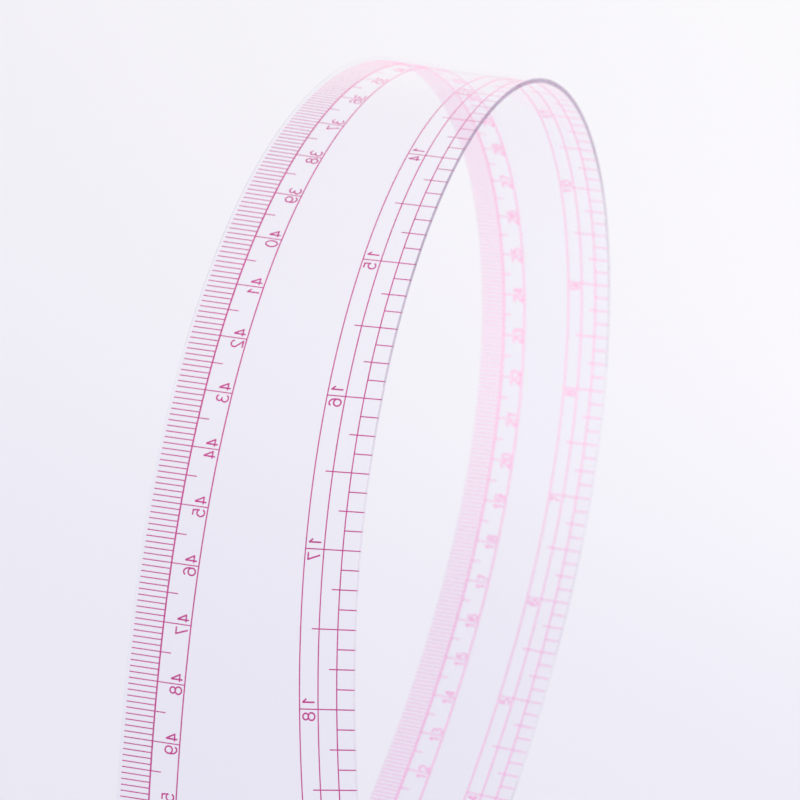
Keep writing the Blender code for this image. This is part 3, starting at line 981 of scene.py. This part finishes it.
def numbers(bm, scale, low, high):
    """Single digits stand before their tick, pairs one on either side of it.  Each digit belongs
    to the span that holds its own middle."""
    for n in range(1, scale.count + 1):
        reading = n * scale.unit
        starts = (reading - scale.digit_gap - scale.digit_width, reading + scale.digit_gap)
        for digit, start in zip(str(n), starts):
            u = scale.base.point(start + scale.digit_width / 2, scale.digit_foot)[0]
            if (low is None or u >= low) and (high is None or u < high):
                stamp(bm, scale, digit, start)


def print_piece(name, scale, low, high):
    bm = bmesh.new()
    film(bm, scale, low, high)
    numbers(bm, scale, low, high)
    if not bm.faces:      # a span past the end of the scale holds no print
        bm.free()
        return None
    bmesh.ops.recalc_face_normals(bm, faces=bm.faces)
    return link_object(name, to_mesh(bm, name, scale.inks))


# ---- spans --------------------------------------------------------------------------------------
def attach(piece, k, family):
    """Span k joins halves of segments k and k + 1; the outermost spans ride on one segment."""
    if k in (0, SEGMENTS):
        segment = max(k, 1)
        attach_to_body(piece, "strip_%02d" % segment)
        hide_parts("%s_%02d" % (family, segment))
    else:
        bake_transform(piece)
        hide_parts("%s_%02d" % (family, k), "%s_%02d" % (family, k + 1))


for k in range(SEGMENTS + 1):
    low = MIDDLES[k - 1] if k > 0 else None
    high = MIDDLES[k] if k < SEGMENTS else None
    sheet = sheet_piece("clear_blade_span_%02d" % (k + 1), low, high)
    attach(sheet, k, "blade_seg")
    for scale in (CM_SCALE, INCH_SCALE):
        printed = print_piece("%s_scale_span_%02d" % (scale.name, k + 1), scale, low, high)
        if printed:
            attach(printed, k, scale.name + "_print")


# ---- stage --------------------------------------------------------------------------------------
FLOOR_Z = -0.0005
FLOOR_RADIUS = 1.2
BOWL_SWEEP = 2.2        # radius of the curve from floor to wall
BOWL_TOP = 3.6
BOWL_SIDES = 96


def studio_paper():
    """Paper with a painted glow and a painted light gradient, darker near the middle of the floor and
    towards -Y; clear from behind.
    """
    shader = Shader("studio_paper")
    where = shader.where()
    grain = shader.noise(where, scale=2.0, detail=2.0, roughness=0.5)
    distance = shader.add("VectorMath", {0: where}, "Value", operation="LENGTH")
    # painted brightness from distance (slope, offset), then from Y (slope)
    outward = shader.math("MULTIPLY_ADD", distance, 0.420, -0.064)
    sideways = shader.math("MULTIPLY", shader.axes(where)["Y"], 0.275)
    painted_light_tone = shader.ramp(shader.math("ADD", outward, sideways),
                       [(0.0, (0.385, 0.392, 0.445)), (1.0, (0.600, 0.604, 0.594))], "LINEAR")
    bump = shader.add("Bump", {"Strength": 0.02, "Height": grain}, "Normal")
    paper = shader.add("BsdfDiffuse", {"Color": (0.36, 0.35, 0.37, 1.0), "Normal": bump})
    # painted glow: the paper's emission, which is no lamp
    painted_glow = shader.add("Emission", {"Color": painted_light_tone, "Strength": 1.0})
    both = shader.add("AddShader", {0: paper, 1: painted_glow})
    through = shader.add("BsdfTransparent")
    return shader.finish(shader.mix(shader.backfacing(), both, through))


def studio_bowl():
    """Pale floor that sweeps up into a round backdrop, so that no horizon shows."""
    paper = studio_paper()
    profile = [(FLOOR_RADIUS, FLOOR_Z)]
    for degrees in range(5, 91, 5):
        angle = math.radians(degrees)
        profile.append((FLOOR_RADIUS + BOWL_SWEEP * math.sin(angle),
                        FLOOR_Z + BOWL_SWEEP * (1 - math.cos(angle))))
    profile.append((FLOOR_RADIUS + BOWL_SWEEP, BOWL_TOP))
    bm = bmesh.new()
    angles = [2 * math.pi * i / BOWL_SIDES for i in range(BOWL_SIDES)]
    rings = [[bm.verts.new((radius * math.cos(a), radius * math.sin(a), z)) for a in angles]
             for radius, z in profile]
    bm.faces.new(rings[0])
    for inner, outer in zip(rings[:-1], rings[1:]):
        for i in range(BOWL_SIDES):
            j = (i + 1) % BOWL_SIDES
            bm.faces.new((inner[i], outer[i], outer[j], inner[j]))
    bmesh.ops.recalc_face_normals(bm, faces=bm.faces)
    if bm.faces[0].normal.z < 0:
        bmesh.ops.reverse_faces(bm, faces=bm.faces)
    for face in bm.faces:
        face.smooth = True
    link_object("studio_bowl", to_mesh(bm, "studio_bowl", [paper]))


studio_bowl()

# ---- light --------------------------------------------------------------------------------------
world = bpy.data.worlds.new("studio")
bpy.context.scene.world = world
world.use_nodes = True
sky = world.node_tree.nodes["Background"]
sky.inputs["Color"].default_value = (0.94, 0.915, 0.955, 1.0)
sky.inputs["Strength"].default_value = 0.98


def soft_light(name, place, target, size, power, colour):
    data = bpy.data.lights.new(name, "AREA")
    data.shape = "RECTANGLE"
    data.size, data.size_y = size
    data.energy = power
    data.color = colour
    lamp = bpy.data.objects.new(name, data)
    lamp.location = place
    lamp.rotation_mode = "QUATERNION"
    lamp.rotation_quaternion = (Vector(target) - Vector(place)).to_track_quat("-Z", "Y")
    bpy.context.scene.collection.objects.link(lamp)


soft_light("key", place=(1.2, 1.6, 1.6), target=(0.0, 0.0, 0.15), size=(1.4, 1.4),
           power=16.0, colour=(1.0, 0.98, 1.0))
soft_light("fill", place=(0.9, -1.6, 0.9), target=(0.0, 0.0, 0.12), size=(1.2, 1.6),
           power=7.0, colour=(0.96, 0.95, 1.0))
soft_light("back", place=(-1.6, 0.6, 1.5), target=(0.0, 0.0, 0.20), size=(1.6, 1.0),
           power=9.0, colour=(1.0, 0.97, 1.0))

bpy.context.scene.view_settings.view_transform = "Standard"

# ---- camera -------------------------------------------------------------------------------------
# the camera's own axes (it looks along -backward) and its place
CAMERA_RIGHT = (-0.3725217487897473, 0.9107161575451146, 0.1783917797009999)
CAMERA_UP = (-0.007328578895106352, -0.19510859906440178, 0.9807542640756167)
CAMERA_BACKWARD = (0.9279945250969999, 0.3640449353546732, 0.0793564517390061)
CAMERA_PLACE = (0.3490011, 0.1101124, 0.2038270)

camera = bpy.data.cameras.new("view")
camera.sensor_width = 36.0
camera.lens = 84.912255
camera.clip_start = 0.01
camera.clip_end = 20.0
eye = bpy.data.objects.new("view", camera)
pose = Matrix((CAMERA_RIGHT, CAMERA_UP, CAMERA_BACKWARD)).transposed().to_4x4()
pose.translation = CAMERA_PLACE
eye.matrix_world = pose
bpy.context.scene.collection.objects.link(eye)
bpy.context.scene.camera = eye

focus = link_object("focus", None)
focus.location = bent(0.43, 0.045, 0.0)      # a point on the sheet towards its wide end
camera.dof.use_dof = True
camera.dof.focus_object = focus
camera.dof.aperture_fstop = 46.0
